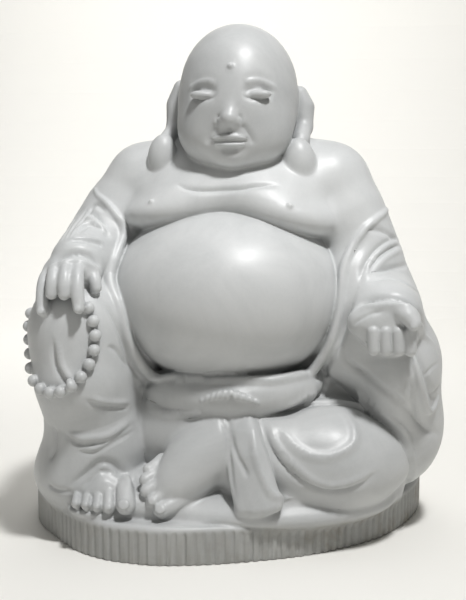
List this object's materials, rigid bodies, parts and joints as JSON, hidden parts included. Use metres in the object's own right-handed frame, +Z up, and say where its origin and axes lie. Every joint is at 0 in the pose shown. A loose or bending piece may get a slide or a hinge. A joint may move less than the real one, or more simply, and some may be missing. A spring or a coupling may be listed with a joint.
{
  "type": "seated stone figure statue",
  "caption": "Garden and temple statue of a seated, calm, round-bellied figure in an open robe, holding prayer beads and a sack, on a low fluted base, carved from one block of pale stone",
  "frame": {"origin": "middle of the flat underside of the base, on the ground", "axes": "+Z up, the figure faces -Y, +X to a viewer's right"},
  "size_m": [0.9345, 0.6893, 1.1059],
  "materials": {
    "stone": "pale grey-white marble, smooth, softly polished on the belly and head"
  },
  "bodies": {
    "root": {"seated_figure": "stone"}
  },
  "joints": []
}
